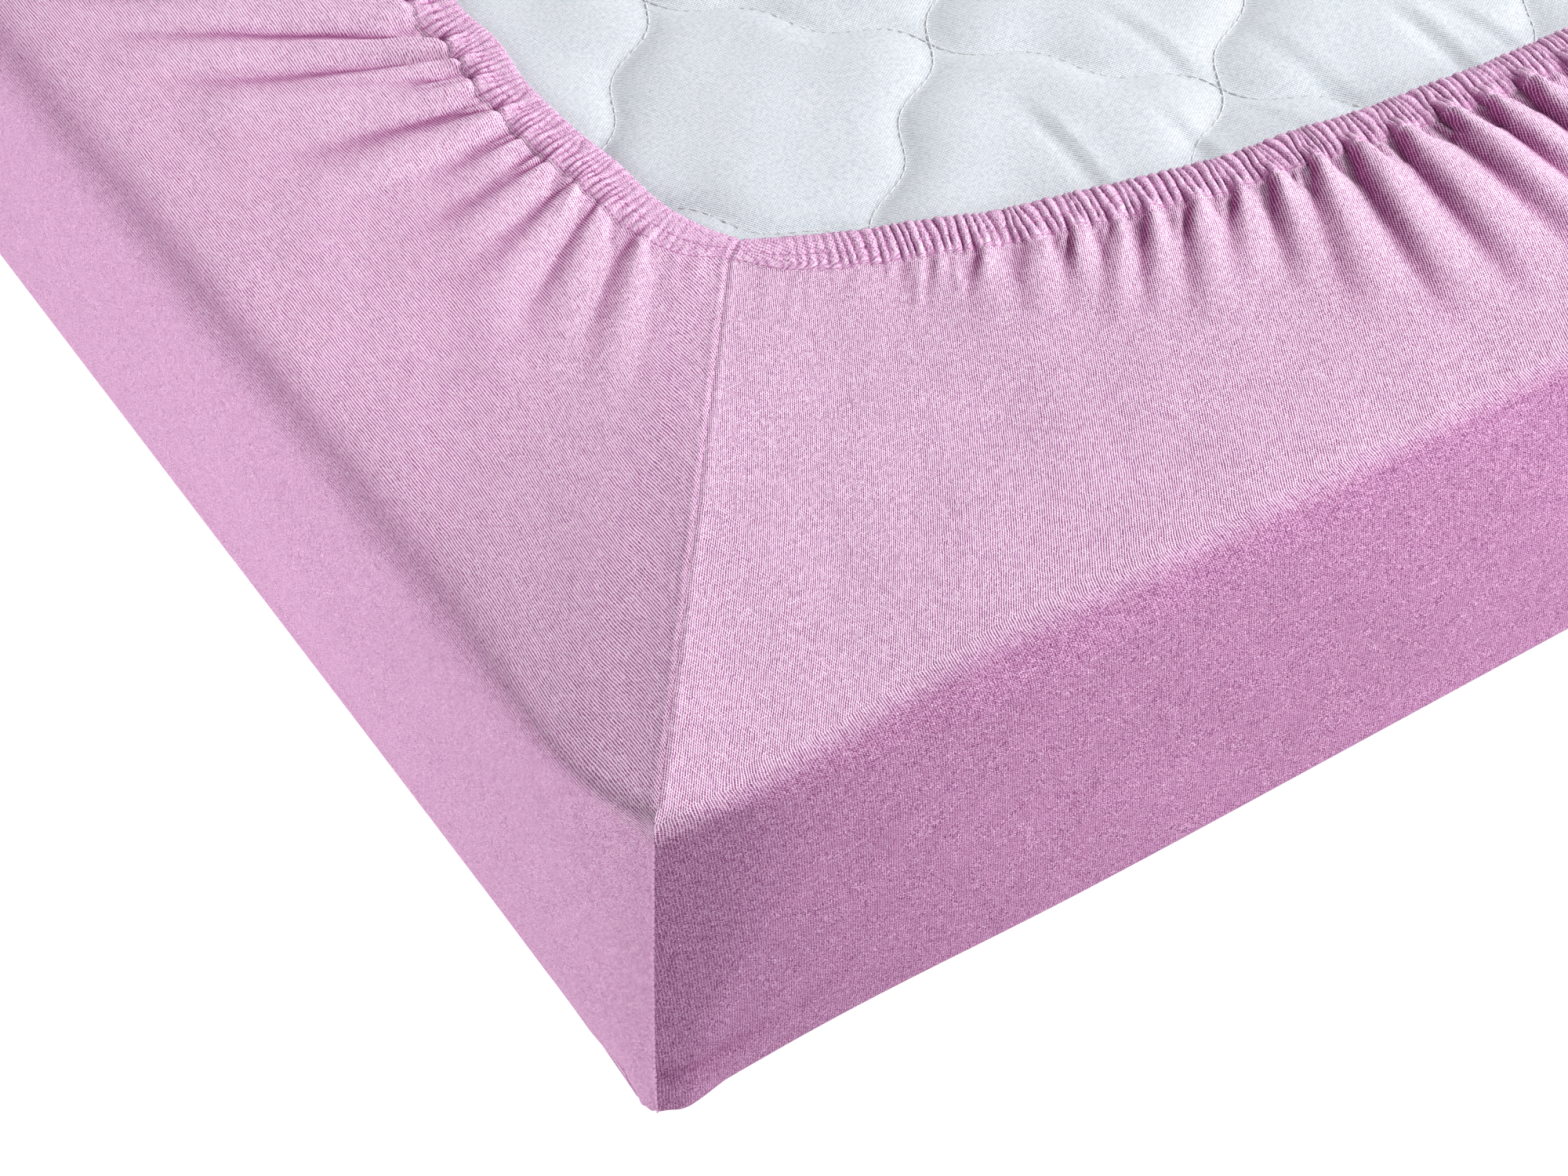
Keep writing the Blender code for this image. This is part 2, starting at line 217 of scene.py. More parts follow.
def makeJersey(name, gathered=False):
    look = jerseyLooks[name]
    material, tree, shader = newMaterial(name + ("Gathered" if gathered else ""), **{
        "Roughness": 0.9, "Specular IOR Level": 0.08,
        "Sheen Weight": 0.04, "Sheen Roughness": 0.35, "Sheen Tint": (1.0, 0.85, 0.97, 1.0),
    })
    cloth = nodeIn(tree, "ShaderNodeUVMap", uv_map="cloth").outputs["UV"]
    split = nodeIn(tree, "ShaderNodeSeparateXYZ", {0: cloth})
    across, along = split.outputs[0], split.outputs[1]

    def shown(key):
        side, top, hem = look[key]
        if gathered:
            return hem
        return ranged(tree, split.outputs[look["profile"]], *jersey["turn"], side, top)

    place = nodeIn(tree, "ShaderNodeTexCoord").outputs["Object"]
    wobble = noise(tree, place, 240.0, 1.0)
    column = calc(tree, "MULTIPLY_ADD", across, 1 / jersey["wale"], calc(tree, "MULTIPLY", wobble, 0.9))
    row = calc(tree, "MULTIPLY_ADD", along, 1 / jersey["course"], calc(tree, "MULTIPLY", wobble, 0.6))

    def wave(turns):
        return calc(tree, "COSINE", calc(tree, "MULTIPLY", turns, 2 * math.pi))

    corner = vector(tree, calc(tree, "FLOOR", column), calc(tree, "FLOOR", row))
    own = nodeIn(tree, "ShaderNodeTexWhiteNoise", {"Vector": corner}, noise_dimensions="2D").outputs["Value"]
    fleck = noise(tree, place, 1.0 / jersey["fleck"], 0.0)
    slub = noise(tree, place, 1.0 / jersey["slub"], 3.0, 0.7)
    # painted fold shade from the panels' points: shade on flanks away from the light, a little painted
    # highlight on crests
    paintedFoldShade = nodeIn(tree, "ShaderNodeAttribute", attribute_name="paintedFoldShade").outputs["Fac"]
    detail = 0.0
    for key, part in (
        ("columns", wave(column)), ("legs", wave(calc(tree, "MULTIPLY", column, 2.0))),
        ("slants", wave(calc(tree, "ADD", column, row))),
        ("backSlants", wave(calc(tree, "SUBTRACT", column, row))),
        ("stitches", calc(tree, "SUBTRACT", own, 0.5)), ("flecks", calc(tree, "SUBTRACT", fleck, 0.5)),
    ):
        detail = calc(tree, "MULTIPLY_ADD", part, shown(key), detail)
    # painted shade: fewer pale fibres and a weaker knit pattern where the fold shade is
    level = calc(tree, "MULTIPLY_ADD", paintedFoldShade, -jersey["paintedShadeFall"], shown("level"))
    value = calc(tree, "MULTIPLY_ADD", detail, ranged(tree, paintedFoldShade, low=1.0, high=0.5), level)
    bumpFrom(tree, shader, value, jersey["knitDepth"])
    ramp = nodeIn(tree, "ShaderNodeValToRGB", {"Fac": value})
    ramp.color_ramp.elements[0].color = jersey["shadeColour"]
    ramp.color_ramp.elements[1].color = jersey["paleColour"]
    ramp.color_ramp.elements.new(0.5).color = jersey["colour"]
    # each part's tone is partly painted light and shade; the slub adds random unevenness on top
    tone = calc(tree, "MULTIPLY", shown("tone"), ranged(tree, slub, 0.25, 0.75, 0.95, 1.05))
    # painted shade towards the corner seams, and painted light where the seam value is below 0
    middle = look["length"] / 2
    off = calc(tree, "ABSOLUTE", calc(tree, "SUBTRACT", split.outputs[1 - look["profile"]], middle))
    atSeam = ranged(tree, off, middle - look["seamReach"], middle, interpolation_type="SMOOTHSTEP")
    fall = calc(tree, "MULTIPLY", atSeam, shown("paintedSeamShade"))
    tone = calc(tree, "MULTIPLY", tone, calc(tree, "MULTIPLY_ADD", fall, -1.0, 1.0))
    toned = nodeIn(tree, "ShaderNodeVectorMath", {0: ramp.outputs["Color"], "Scale": tone}, operation="SCALE")
    # painted shade: a darker tint multiplied in by the fold shade
    colourFrom(tree, shader, paintedFoldShade, toned.outputs[0], jersey["paintedShadeTint"], "MULTIPLY")
    return material


ticking = {
    "colour": (0.835, 0.862, 0.905, 1.0),
    "shadeColour": (0.330, 0.390, 0.470, 1.0),
    "rib": 0.00078,       # slanting rib of the knitted cover
    "ribDepth": 0.00022,
    "slant": 0.62,        # how far the ribs lean
    "rowSlant": -0.75,
    "rowLength": 1.3,     # of a rib
}


def makeTicking():
    material, tree, shader = newMaterial("ticking", **{
        "Roughness": 0.80, "Specular IOR Level": 0.25, "Sheen Weight": 0.10, "Sheen Roughness": 0.5,
    })
    place = nodeIn(tree, "ShaderNodeTexCoord").outputs["Object"]
    split = nodeIn(tree, "ShaderNodeSeparateXYZ", {0: place})
    slant = calc(tree, "MULTIPLY_ADD", split.outputs[1], ticking["slant"], split.outputs[0])
    rise = calc(tree, "MULTIPLY_ADD", split.outputs[0], ticking["rowSlant"], split.outputs[1])
    rib = calc(tree, "SINE", calc(tree, "MULTIPLY", slant, 2 * math.pi / ticking["rib"]))
    rowTurn = 2 * math.pi / (ticking["rowLength"] * ticking["rib"])
    row = calc(tree, "SINE", calc(tree, "MULTIPLY", rise, rowTurn))
    ribbed = calc(tree, "MULTIPLY_ADD", rib, 0.33, 0.5)
    knit = calc(tree, "MULTIPLY_ADD", calc(tree, "MULTIPLY", rib, row), 0.22, ribbed)
    fleck = noise(tree, place, 900.0, 2.0)
    height = calc(tree, "MULTIPLY_ADD", fleck, 0.8, calc(tree, "SUBTRACT", knit, 0.2))
    bumpFrom(tree, shader, height, ticking["ribDepth"])
    colourFrom(tree, shader, ranged(tree, height, 0.2, 0.75), ticking["shadeColour"], ticking["colour"])
    return material


def makeThread(name, colour):
    material, tree, shader = newMaterial(name, **{"Roughness": 0.8, "Specular IOR Level": 0.2})
    place = nodeIn(tree, "ShaderNodeTexCoord").outputs["Object"]
    darker = tuple(0.72 * part for part in colour[:3]) + (1.0,)
    colourFrom(tree, shader, noise(tree, place, 1800.0, 1.0), darker, colour)
    return material


# the sheet: one set of sizes for all four sides, which meet at the corner seams

sheet = {
    "wallBulge": 0.003,
    "footAtSeam": 0.0019,    # how far the side turns in again at the floor
    "bottomRound": 0.0048,
    "rimRoundAtSeam": 0.005,
    "seamTurn": 34.0,        # degrees that each panel turns from its side to the corner seam
    "pocketRadius": 0.0135,  # plan size of the sewn corner at the floor
    "rimRadius": 0.062,      # plan size of the corner at the rim
    "cornerArc": 0.066,      # length along a side that half a corner takes up
    "tuckUnder": 0.045,      # how far a side panel reaches in under the mattress
    "bandWidth": 0.0152,     # the gathered hem: a channel and a heading
    "middleStitches": 0.45,  # their place, from 0 at the outer stitches to 1 at the hem
    "gatherPitch": 0.00255,
    "rufflePitch": 0.0037,
    "gatherHeight": 0.00165,
    "foldGain": 0.95,
    "seamGroove": 0.0005,
    "seamRidge": 0.0006,
    "puckerPitch": 0.0034,
    "stretchedFrom": 0.125,  # down the cloth, where the return begins and its knit is skewed
    "unevenness": (0.0007, 0.00025),   # of the wall and the return, in bumps of 100 and 30 mm
    "longColumns": 1984,
    "shortColumns": 768,
    "wallLevel": 3,          # the wall keeps every 8th of them
    "wallRows": 27, "returnRows": 46, "bandRows": 25,
}

# where the hem turns each side's first corner: distance from that corner along X, along Y
hemCorners = {
    "front": (0.1545, 0.190), "right": (0.159, 0.183), "back": (0.151, 0.188), "left": (0.160, 0.182),
}
seamEnd = (-0.0073, -0.0052)   # from there to the outer stitches of the band, along the seam
hemMiddles = {"front": 0.1165, "right": 0.136, "back": 0.116, "left": 0.137}   # depth from the edge
feet = {"front": 0.0006, "right": 0.0020, "back": 0.0015, "left": 0.0030}
# more of the same beside a corner: how much, how far from the corner, over what width
footTucks = {
    "front": (0.0027, 0.115, 0.055), "right": (0.0010, 0.090, 0.050),
    "back": (0.0015, 0.100, 0.060), "left": (-0.0018, 0.055, 0.035),
}
# the sewn corner at the floor: (how far out, where from the seam or the corner, over what width,
# at what height, over what height)
cornerFoot = {
    "ear": (0.0013, 0.013, 0.011, 0.006, 0.013),       # past its first seam a panel stands puffed
    "notch": (-0.0005, 0.029, 0.004, 0.004, 0.009),
    "tip": (0.0024, 0.0015, 0.0030, 0.004, 0.014),     # before its last it is drawn into a tip
    "drawn": (-0.0027, 0.019, 0.012, 0.004, 0.014),
    "drawnFar": (-0.0006, 0.045, 0.020, 0.004, 0.014),
    "atSeam": (0.00067, 0.0, 0.004, 0.004, 0.014),     # where both panels agree
}
# painted shade on a fold's far flank, away from the light: (reach along the hem, depth, strength)
paintedShadeScales = ((0.0018, 0.0009, 0.75), (0.0050, 0.0036, 0.45))
rimRounds = {"front": 0.0125, "right": 0.014, "back": 0.0125, "left": 0.0165}
headingGathers = {"front": 1.0, "right": 0.7, "back": 1.0, "left": 0.42}

# side: first corner, direction along it, direction inward, length, its own random seed
sides = {
    "front": ((-1, -1), (1, 0), (0, 1), sideX, 3),
    "right": ((1, -1), (0, 1), (-1, 0), sideY, 5),
    "back": ((1, 1), (-1, 0), (0, -1), sideX, 7),
    "left": ((-1, 1), (0, -1), (1, 0), sideY, 11),
}
nextSide = {"front": "right", "right": "back", "back": "left", "left": "front"}

# main folds of the return, in tenths of a millimetre: (place at the hem, place at the rim it
# points to, reach in % of the way, height, width)
folds = {
    "front": [
        (2070, 1120, 14, 9, 90), (2200, 1300, 22, 13, 90), (2320, 1460, 26, 17, 100),
        (2460, 1620, 26, 19, 100), (2580, 1760, 32, 23, 100), (2680, 1900, 34, 25, 100),
        (2830, 2080, 40, 33, 110), (2960, 2320, 36, 29, 100), (3060, 2540, 42, 34, 110),
        (3215, 2890, 62, 46, 140), (3355, 3130, 78, 54, 150), (3500, 3400, 82, 56, 140),
        (3680, 3700, 85, 60, 170), (3810, 3850, 66, 50, 130), (3950, 3980, 72, 52, 140),
        (4120, 4150, 56, 44, 150), (4310, 4370, 80, 54, 170), (4690, 4700, 55, 34, 180),
        (4980, 5060, 85, 48, 170), (5400, 5370, 65, 38, 190), (5720, 5770, 80, 44, 160),
        (6120, 6080, 50, 32, 180), (6430, 6500, 85, 50, 180), (6840, 6810, 70, 40, 170),
        (7120, 7190, 55, 34, 150), (7490, 7560, 80, 46, 180), (7900, 8030, 60, 36, 180),
        (8220, 8410, 75, 40, 160), (8530, 8840, 50, 30, 150), (8840, 9260, 60, 34, 160),
        (9210, 9790, 40, 24, 140), (9570, 10320, 30, 18, 130), (9960, 10900, 25, 14, 120),
    ],
    "right": [
        (2040, 740, 40, 20, 100), (2260, 1300, 55, 28, 120), (2490, 1900, 70, 36, 130),
        (2720, 2360, 60, 32, 120), (2930, 2880, 85, 42, 140), (3170, 3310, 65, 34, 130),
        (3380, 3920, 80, 40, 130), (3610, 4380, 50, 26, 120), (3820, 5030, 40, 20, 100),
    ],
    "back": [
        (1970, 930, 30, 14, 120), (2360, 1510, 35, 20, 130), (2690, 2040, 50, 28, 150),
        (3040, 2620, 65, 36, 160), (3330, 3030, 80, 44, 160), (3710, 3620, 55, 34, 180),
        (4020, 3950, 85, 48, 170), (4460, 4490, 60, 36, 180), (4780, 4720, 75, 42, 160),
        (5210, 5270, 85, 46, 180), (5590, 5560, 55, 32, 170), (5930, 6020, 75, 44, 180),
        (6370, 6340, 85, 48, 180), (6710, 6800, 60, 36, 160), (7160, 7190, 80, 44, 180),
        (7510, 7640, 50, 30, 170), (7890, 7990, 75, 42, 170), (8280, 8510, 60, 34, 160),
        (8610, 8930, 55, 30, 150), (9010, 9510, 40, 24, 140), (9430, 10140, 35, 18, 130),
        (9860, 10830, 25, 14, 120),
    ],
    "left": [
        (2030, 790, 35, 18, 100), (2270, 1330, 55, 28, 120), (2480, 1610, 70, 34, 120),
        (2660, 1870, 92, 42, 120), (2840, 2120, 88, 40, 120), (2955, 2400, 80, 36, 110),
        (3070, 2720, 62, 32, 110), (3210, 3180, 66, 32, 120), (3340, 3460, 34, 20, 90),
        (3470, 3780, 50, 26, 120), (3600, 4310, 56, 26, 110), (3740, 4780, 45, 22, 100),
        (3890, 5240, 40, 18, 90),
    ],
}
folds = {side: np.array(rows) / (1e4, 1e4, 100, 1e4, 1e4) for side, rows in folds.items()}


def place(side, along, inward, z):
    corner, run, turn = sides[side][:3]
    x = corner[0] * sideX / 2 + run[0] * along + turn[0] * inward
    y = corner[1] * sideY / 2 + run[1] * along + turn[1] * inward
    return np.stack(np.broadcast_arrays(x, y, z), axis=-1)


def direction(side, along, inward, up):
    run, turn = sides[side][1:3]
    parts = (run[0] * along + turn[0] * inward, run[1] * along + turn[1] * inward, up)
    return np.stack(np.broadcast_arrays(*parts), axis=-1)


def outline(length, along, inset, radius):
    # distance along and inward on a plan with creased corners, and the way it faces there
    arc = sheet["cornerArc"]
    fromEnd = along > length / 2
    near = np.where(fromEnd, length - along, along)
    t = np.clip(near / arc, 0, 1)
    start = 0.218 * radius
    pull = start + start / math.tan(math.radians(sheet["seamTurn"]))
    curved = start * (1 - t) ** 2 + pull * 2 * t * (1 - t) + radius * t**2
    inward = inset + start * (1 - t) ** 2
    runs = (pull - start) * (1 - t) + (radius - pull) * t
    turns = -start * (1 - t)
    # right at the seam both panels face the same way, out along the diagonal
    shared = bell(near / 0.004)
    size = np.hypot(runs, turns)
    runs, turns = runs / size, turns / size
    runs, turns = runs + shared * (math.sqrt(0.5) - runs), turns + shared * (-math.sqrt(0.5) - turns)
    size = np.hypot(runs, turns)
    share = (near - arc) / (length / 2 - arc)
    straight = inset + radius + share * (length / 2 - inset - radius)
    where = np.where(near < arc, inset + curved, straight)
    faces = np.where(fromEnd, -1, 1) * turns / size
    return np.where(fromEnd, length - where, where), inward, faces, -runs / size


def hemCorner(side, atEnd):
    x, y = hemCorners[nextSide[side] if atEnd else side]
    return (x, y) if sides[side][1][0] else (y, x)


def hemLine(side, hem):
    # (along, inward) of the hem, and the way from the opening out to the edge
    length = sides[side][3]
    atEnd = hem > length / 2
    near = np.where(atEnd, length - hem, hem)
    first, last = hemCorner(side, False), hemCorner(side, True)
    cornerAlong, cornerDepth = np.where(atEnd, last[0], first[0]), np.where(atEnd, last[1], first[1])
    away = np.clip((length / 2 - near) / (length / 2 - cornerAlong), 0, 1)
    middle = hemMiddles[side]
    depth = middle + (cornerDepth - middle) * (0.3 * away**1.8 + 0.7 * away**4.4)
    depth = depth + 0.0007 * ripple(sides[side][4] + 500, 0.05, hem) * smooth((1 - away) / 0.1)
    slope = np.gradient(depth, hem)
    out = np.stack([slope, -np.ones_like(slope)]) / np.sqrt(1 + slope**2) * sheet["bandWidth"]
    # towards a corner the band turns to run along the seam
    x, y = seamEnd if sides[side][1][0] else seamEnd[::-1]
    seam = np.stack([np.where(atEnd, -x, x), np.full_like(near, y)])
    share = bell((near - cornerAlong) / 0.009)
    return depth, out * (1 - share) + seam * share


def columnsOf(side, count):
    # matching places along the hem and along the rim, closer together at the seams
    length = sides[side][3]
    first, last = hemCorner(side, False)[0], length - hemCorner(side, True)[0]
    rows = folds[side]
    fine = np.linspace(first, last, 6001)
    rim = np.interp(fine, [first, *rows[:, 0], last], [0, *rows[:, 1], length])
    reach = 120
    padded = np.concatenate([-rim[reach:0:-1], rim, 2 * length - rim[-2:-reach - 2:-1]])
    window = np.hanning(2 * reach + 1)
    rim = np.convolve(padded, window / window.sum(), "valid")
    seams = 0.014 * ((1 - bell(rim / 0.006)) + bell((length - rim) / 0.006))
    walk = fine - first + 0.35 * rim + seams
    hem = np.interp(np.linspace(0, walk[-1], count + 1), walk, fine)
    return hem, np.interp(hem, fine, rim)


def foldHeights(side, hem, share, depth):
    # share runs from 0 at the rim to 1 at the band; depth is the length of that way
    fromBand = (1 - share) * depth
    knuckle = 0.65 + 0.35 * smooth(fromBand / 0.0030)
    total = np.zeros(np.broadcast(hem, share).shape)
    rng = np.random.default_rng(sides[side][4])
    rows = folds[side]
    for index, (at, _, reach, height, width) in enumerate(rows):
        way = np.clip((share - (1 - reach)) / reach, 0, 1)
        bend = rng.uniform(-0.003, 0.003) * np.sin(math.pi * (1 - share))
        before = at - rows[index - 1][0] if index else width
        after = rows[index + 1][0] - at if index + 1 < len(rows) else width
        off = hem - at - bend
        half = np.where(off < 0, 0.40 * min(before, 1.5 * width), 0.62 * min(after, 1.5 * width))
        narrow = 0.50 + 0.50 * smooth(fromBand / 0.015)
        off = np.clip(off / (half * narrow * (1.0 + 0.15 * (1 - way))), -1, 1)
        total += sheet["foldGain"] * height * smooth(way) ** 0.62 * np.cos(off * math.pi / 2) ** 1.15
    return total * knuckle


def creaseHeights(side, hem, share, depth):
    # short creases that leave the band between the main folds
    rng = np.random.default_rng(sides[side][4] + 100)
    fromBand = (1 - share) * depth
    total = np.zeros(np.broadcast(hem, share).shape)
    at = hem[0] + rng.uniform(0.006, 0.012)
    while at < hem[-1] - 0.006:
        ends = min(at - hem[0], hem[-1] - at)
        height = rng.uniform(0.0005, 0.0018) * (0.25 + 0.75 * float(smooth((ends - 0.02) / 0.06)))
        half, length = rng.uniform(0.0010, 0.0023), rng.uniform(0.006, 0.032)
        near = np.abs(hem - at) < 3 * half + 0.003
        drift = rng.uniform(-0.08, 0.08) * np.minimum(fromBand[:, near], 0.035)
        fade = smooth(1 - fromBand[:, near] / length)
        total[:, near] += height * fade * bell((hem[near] - at - drift) / half)
        at += rng.uniform(0.0026, 0.0062)
    return total * (0.5 + 0.5 * smooth(fromBand / 0.002))


def ribsOf(rng, hem, moved, pitch, power):
    # uneven ribs side by side: their shape, and a number that picks one size for each
    count = int((hem[-1] - hem[0]) / pitch)
    steps = rng.uniform(0.70, 1.32, count)
    edges = hem[0] + np.concatenate([[0], np.cumsum(steps)]) * (hem[-1] - hem[0]) / steps.sum()
    phase = np.interp(moved, edges, np.arange(count + 1.0))
    return np.abs(np.sin(math.pi * phase)) ** power, np.clip(phase.astype(int), 0, count - 1), count


def gatherHeights(side, hem, share):
    # the gathers over the band; share runs from 0 at its outer stitches to 1 at the hem
    seed = sides[side][4]
    rng = np.random.default_rng(seed + 200)
    middle = sheet["middleStitches"]
    lean = 0.0008 * ripple(seed + 300, 0.016, hem)
    curl = 0.0007 * ripple(seed + 400, 0.009, hem)
    moved = hem + lean * (share - 0.2) + curl * smooth((share - middle) / 0.5) + 0.0012 * share**2
    rib, which, count = ribsOf(rng, hem, moved, sheet["gatherPitch"], 0.62)
    rib = rib * rng.uniform(0.62, 1.12, count)[which]
    ruffle, which, count = ribsOf(rng, hem, moved, sheet["rufflePitch"], 0.85)
    ruffle = ruffle * rng.uniform(0.40, 1.25, count)[which]
    heading = headingGathers[side] * (0.92 * rib + 0.14 * ruffle)
    total = rib + (heading - rib) * smooth((share - middle) / 0.22)
    ends = np.minimum(hem - hem[0], hem[-1] - hem)
    total = total * (0.12 + 0.88 * smooth((ends - 0.008) / 0.040)) * smooth(ends / 0.004)
    along = np.interp(share, (0, 0.05, 0.14, 0.26, 0.38, middle, 0.54, 0.80, 1.0),
                      (0.28, 0.46, 0.70, 0.96, 1.0, 0.82, 0.94, 1.0, 0.86))
    return sheet["gatherHeight"] * along * total


bandCrown = ((0, 0.05, 0.12, 0.25, 0.38, 0.45, 0.54, 0.72, 0.92, 1.0),
             (0.0001, 0.0001, 0.0002, 0.0005, 0.0008, 0.0008, 0.0010, 0.0012, 0.0011, 0.0007))
# the hem's own edge, turned under: (out over the mattress, height, share of the gathers)
hemEdge = ((0.0005, 0.0007, 0.9), (0.0004, 0.0000, 0.6), (-0.0006, -0.0012, 0.2), (-0.0030, -0.0014, 0.0))


def wallRows(side, rim):
    # inset, height and which way it faces, -90 down to 90 up, for each row and column
    length = sides[side][3]
    near = np.minimum(rim, length - rim)
    bulge, low = sheet["wallBulge"], sheet["bottomRound"]
    own = smooth((near - 0.02) / 0.12)   # the panels agree at the seams
    high = sheet["rimRoundAtSeam"] + (rimRounds[side] - sheet["rimRoundAtSeam"]) * own
    foot = sheet["footAtSeam"] + (feet[side] - sheet["footAtSeam"]) * own
    tuck, centre, width = footTucks[side]
    foot = foot + tuck * bell((near - centre) / width) * smooth((near - 0.012) / (centre - 0.030))
    flat = np.ones_like(rim)
    rows = [(under * flat, 0 * flat, -90) for under in (sheet["tuckUnder"], 0.030, 0.015)]
    for turn in range(-90, 1, 15):
        angle = math.radians(turn)
        rows.append((foot + low * (1 - math.cos(angle)), flat * low * (1 + math.sin(angle)), turn))
    for share in np.linspace(0, 1, sheet["wallRows"])[1:-1] ** 1.3:
        turnedIn = (foot if share < 0.5 else bulge) * (2 * share - 1) ** 2
        rows.append((flat * turnedIn, low + share * (topZ - low - high), 0))
    for turn in range(0, 91, 15):
        angle = math.radians(turn)
        rows.append((bulge + high * (1 - math.cos(angle)), topZ - high * (1 - math.sin(angle)), turn))
    insets, heights, turns = zip(*rows)
    return np.array(insets), np.array(heights), np.radians(turns)[:, None]


def bump(values, along, height):
    out, at, wide, up, tall = values
    return out * bell((along - at) / wide) * bell((height - up) / tall)


def seamLift(points, alongs, length, wallCount):
    # the seams at both ends: a fine groove on the return, a small ridge with puckers down the
    # corner, and the corner's foot; also the painted shade of the slack crease above the foot
    height = points[..., 2]
    onWall, onReturn = np.zeros((2, len(points), 1))
    onWall[6:wallCount - 3] = 1.0
    onReturn[wallCount - 3:] = 1.0
    pucker = 0.6 + 0.4 * np.sin(height * 2 * math.pi / sheet["puckerPitch"])
    total = 0.0
    for column in (0, -1):
        away = np.linalg.norm(points - points[:, [column]], axis=-1)
        ridge = sheet["seamRidge"] * pucker * bell(away / 0.0009) - 0.0003 * bell((away - 0.003) / 0.002)
        groove = -sheet["seamGroove"] * bell(away / 0.0006) + 0.0002 * bell((away - 0.0018) / 0.0010)
        total = total + onWall * ridge + onReturn * groove
    slack = bell((height - 0.020 - 0.05 * alongs) / 0.0036) * smooth(1 - alongs / 0.08)
    ear = bump(cornerFoot["ear"], alongs, height) + bump(cornerFoot["notch"], alongs, height)
    toEnd = length - alongs
    fromSeam = toEnd - toEnd[:, [-1]]
    tip = bump(cornerFoot["tip"], fromSeam, height)
    tip = tip + bump(cornerFoot["drawn"], toEnd, height) + bump(cornerFoot["drawnFar"], toEnd, height)
    tip = tip * smooth(fromSeam / 0.002) + bump(cornerFoot["atSeam"], fromSeam, height)
    # the second value is the painted shade of the slack crease, on the wall only
    return total + onWall * (ear - 0.0009 * slack + tip), 0.22 * onWall * slack


def paintedFlankShade(side, level, span):
    # painted shade: how far each place lies below the cloth beside it, towards the side that the light meets;
    # a little painted highlight where it stands above
    total, count = 0.0, level.shape[1] - 1
    for reach, deep, most in paintedShadeScales:
        columns = max(2, int(round(reach * count / span)))
        window = np.hanning(2 * columns + 1)
        start = columns + int(0.7 * columns) * (1 if side in ("front", "left") else -1)
        padded = np.pad(level, ((0, 0), (2 * columns, 2 * columns)), mode="edge")
        around = np.stack([np.convolve(line, window / window.sum(), "valid") for line in padded])
        around = around[:, start:start + count + 1]
        total = total + most * np.clip((around - level) / deep, -0.15, 1.0)
    return total


def clothUvs(side, inset, z, inward, alongs, inwards, points, moved, bandStart):
    # the knit follows the cloth: wales run along Y over the whole sheet
    wallCount, count, length = len(inset), inset.shape[1], sides[side][3]
    profile = np.cumsum(np.hypot(np.diff(inset, axis=0), np.diff(z, axis=0)), axis=0)
    profile = np.concatenate([np.zeros((1, count)), profile]) - sheet["tuckUnder"]
    downs = np.concatenate([profile + inward - inset, profile[-1] + inwards[wallCount:] - inset[-1]])
    # on the return it is as long as the cloth, up and down the step at the outer stitches too
    real = np.linalg.norm(np.diff(moved[wallCount - 1:], axis=0), axis=-1)
    flat = np.linalg.norm(np.diff(points[wallCount - 1:], axis=0), axis=-1)
    downs[wallCount:] += np.cumsum(real - flat, axis=0)
    onLong = side in ("front", "back")
    if onLong:
        # skewed on the return, which is stretched towards the middle of the hem
        skew = np.clip(1 - 2 * alongs / length, -0.85, 0.85) * 0.9
        skewed = alongs - skew * np.maximum(downs - sheet["stretchedFrom"], 0)
        uvs = np.stack([skewed, downs], axis=-1)
    else:
        uvs = np.stack([downs, alongs], axis=-1)
    # the gathered band keeps as much cloth as it has from rib to rib
    steps = np.linalg.norm(np.diff(moved[bandStart:], axis=1), axis=-1)
    runs = np.concatenate([np.zeros((len(steps), 1)), np.cumsum(steps, axis=1)], axis=1)
    bandUvs = uvs.copy()
    bandUvs[bandStart:, :, 0 if onLong else 1] = runs / runs[:, -1:] * runs[:, -1].mean()
    return uvs, bandUvs


